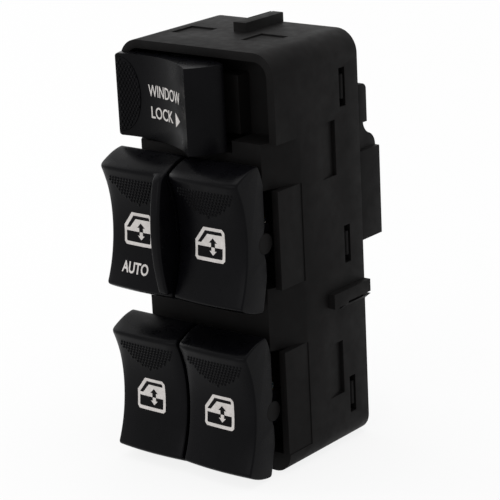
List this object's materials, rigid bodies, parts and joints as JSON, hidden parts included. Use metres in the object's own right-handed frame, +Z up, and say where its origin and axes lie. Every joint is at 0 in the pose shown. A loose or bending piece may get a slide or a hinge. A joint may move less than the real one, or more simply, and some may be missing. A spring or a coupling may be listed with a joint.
{
  "type": "power window switch",
  "caption": "Driver's window switch block with rocking window buttons, a window lock button and a plug socket.",
  "frame": {"origin": "middle of the case's flat lower end, on the surface that the switch stands on", "axes": "+Z up along the case's length towards the lock button, +Y from the buttons to the plug socket, +X to the right of someone who faces the buttons"},
  "size_m": [0.0534, 0.0606, 0.1115],
  "materials": {
    "case_plastic": "fine matt grain",
    "cover_plastic": "fine matt grain",
    "button_plastic": "satin paint over a fine grain",
    "board_laminate": "green solder mask",
    "tinned_brass": "tin plated",
    "contact_metal": "stamped strip",
    "lamp_plastic": "moulded",
    "plunger_plastic": "natural",
    "spring_steel": "drawn wire",
    "base_plastic": "natural"
  },
  "bodies": {
    "housing": {"case": "case_plastic", "rear_cover": "cover_plastic", "circuit_board": "board_laminate", "plug_pins": "tinned_brass", "backlights": "lamp_plastic", "contact_base_driver": "base_plastic", "terminals_driver": "contact_metal", "contact_base_passenger": "base_plastic", "terminals_passenger": "contact_metal", "contact_base_rear_left": "base_plastic", "terminals_rear_left": "contact_metal", "contact_base_rear_right": "base_plastic", "terminals_rear_right": "contact_metal", "contact_base_lock": "base_plastic", "terminals_lock": "contact_metal"},
    "button_driver": {"rocker_driver": "button_plastic", "spring_driver": "spring_steel"},
    "plunger_driver": {"plunger_driver": "plunger_plastic"},
    "blade_driver": {"contact_blade_driver": "contact_metal"},
    "button_passenger": {"rocker_passenger": "button_plastic", "spring_passenger": "spring_steel"},
    "plunger_passenger": {"plunger_passenger": "plunger_plastic"},
    "blade_passenger": {"contact_blade_passenger": "contact_metal"},
    "button_rear_left": {"rocker_rear_left": "button_plastic", "spring_rear_left": "spring_steel"},
    "plunger_rear_left": {"plunger_rear_left": "plunger_plastic"},
    "blade_rear_left": {"contact_blade_rear_left": "contact_metal"},
    "button_rear_right": {"rocker_rear_right": "button_plastic", "spring_rear_right": "spring_steel"},
    "plunger_rear_right": {"plunger_rear_right": "plunger_plastic"},
    "blade_rear_right": {"contact_blade_rear_right": "contact_metal"},
    "button_lock": {"lock_button": "button_plastic", "spring_lock": "spring_steel"},
    "plunger_lock": {"plunger_lock": "plunger_plastic"},
    "blade_lock": {"contact_blade_lock": "contact_metal"}
  },
  "joints": [
    {"name": "driver_tilt", "type": "hinge", "parent": "housing", "child": "button_driver", "pos_m": [-0.01068, -0.0206, 0.0622], "axis": [1, 0, 0], "range_deg": [-6, 9], "stiffness_Nm_per_rad": 0.3},
    {"name": "driver_plunger_slide", "type": "slide", "parent": "button_driver", "child": "plunger_driver", "axis": [0, -1, 0], "range_m": [0, 0.0006], "stiffness_N_per_m": 300, "springref_m": -0.002, "deforming": ["spring_driver"]},
    {"name": "driver_blade_tilt", "type": "hinge", "parent": "housing", "child": "blade_driver", "pos_m": [-0.01068, -0.0046, 0.0622], "axis": [1, 0, 0], "range_deg": [-9, 6]},
    {"name": "passenger_tilt", "type": "hinge", "parent": "housing", "child": "button_passenger", "pos_m": [0.01188, -0.0206, 0.0622], "axis": [1, 0, 0], "range_deg": [-6, 6], "stiffness_Nm_per_rad": 0.3},
    {"name": "passenger_plunger_slide", "type": "slide", "parent": "button_passenger", "child": "plunger_passenger", "axis": [0, -1, 0], "range_m": [0, 0.0006], "stiffness_N_per_m": 300, "springref_m": -0.002, "deforming": ["spring_passenger"]},
    {"name": "passenger_blade_tilt", "type": "hinge", "parent": "housing", "child": "blade_passenger", "pos_m": [0.01188, -0.0046, 0.0622], "axis": [1, 0, 0], "range_deg": [-6, 6]},
    {"name": "rear_left_tilt", "type": "hinge", "parent": "housing", "child": "button_rear_left", "pos_m": [-0.01068, -0.0206, 0.018], "axis": [1, 0, 0], "range_deg": [-6, 6], "stiffness_Nm_per_rad": 0.3},
    {"name": "rear_left_plunger_slide", "type": "slide", "parent": "button_rear_left", "child": "plunger_rear_left", "axis": [0, -1, 0], "range_m": [0, 0.0006], "stiffness_N_per_m": 300, "springref_m": -0.002, "deforming": ["spring_rear_left"]},
    {"name": "rear_left_blade_tilt", "type": "hinge", "parent": "housing", "child": "blade_rear_left", "pos_m": [-0.01068, -0.0046, 0.018], "axis": [1, 0, 0], "range_deg": [-6, 6]},
    {"name": "rear_right_tilt", "type": "hinge", "parent": "housing", "child": "button_rear_right", "pos_m": [0.01188, -0.0206, 0.018], "axis": [1, 0, 0], "range_deg": [-6, 6], "stiffness_Nm_per_rad": 0.3},
    {"name": "rear_right_plunger_slide", "type": "slide", "parent": "button_rear_right", "child": "plunger_rear_right", "axis": [0, -1, 0], "range_m": [0, 0.0006], "stiffness_N_per_m": 300, "springref_m": -0.002, "deforming": ["spring_rear_right"]},
    {"name": "rear_right_blade_tilt", "type": "hinge", "parent": "housing", "child": "blade_rear_right", "pos_m": [0.01188, -0.0046, 0.018], "axis": [1, 0, 0], "range_deg": [-6, 6]},
    {"name": "lock_tilt", "type": "hinge", "parent": "housing", "child": "button_lock", "pos_m": [-0.0064, -0.0136, 0.09475], "axis": [0, 0, 1], "range_deg": [0, 12]},
    {"name": "lock_plunger_slide", "type": "slide", "parent": "button_lock", "child": "plunger_lock", "axis": [-0.1045, -0.9945, 0], "range_m": [0, 0.0006], "stiffness_N_per_m": 300, "springref_m": -0.002, "deforming": ["spring_lock"]},
    {"name": "lock_blade_tilt", "type": "hinge", "parent": "housing", "child": "blade_lock", "pos_m": [-0.0064, -0.0046, 0.09475], "axis": [0, 0, 1], "range_deg": [-12, 0]}
  ],
  "couplings": [
    {"joint": "driver_blade_tilt", "follows": "driver_tilt", "ratio": -1},
    {"joint": "passenger_blade_tilt", "follows": "passenger_tilt", "ratio": -1},
    {"joint": "rear_left_blade_tilt", "follows": "rear_left_tilt", "ratio": -1},
    {"joint": "rear_right_blade_tilt", "follows": "rear_right_tilt", "ratio": -1},
    {"joint": "lock_blade_tilt", "follows": "lock_tilt", "ratio": -1}
  ]
}
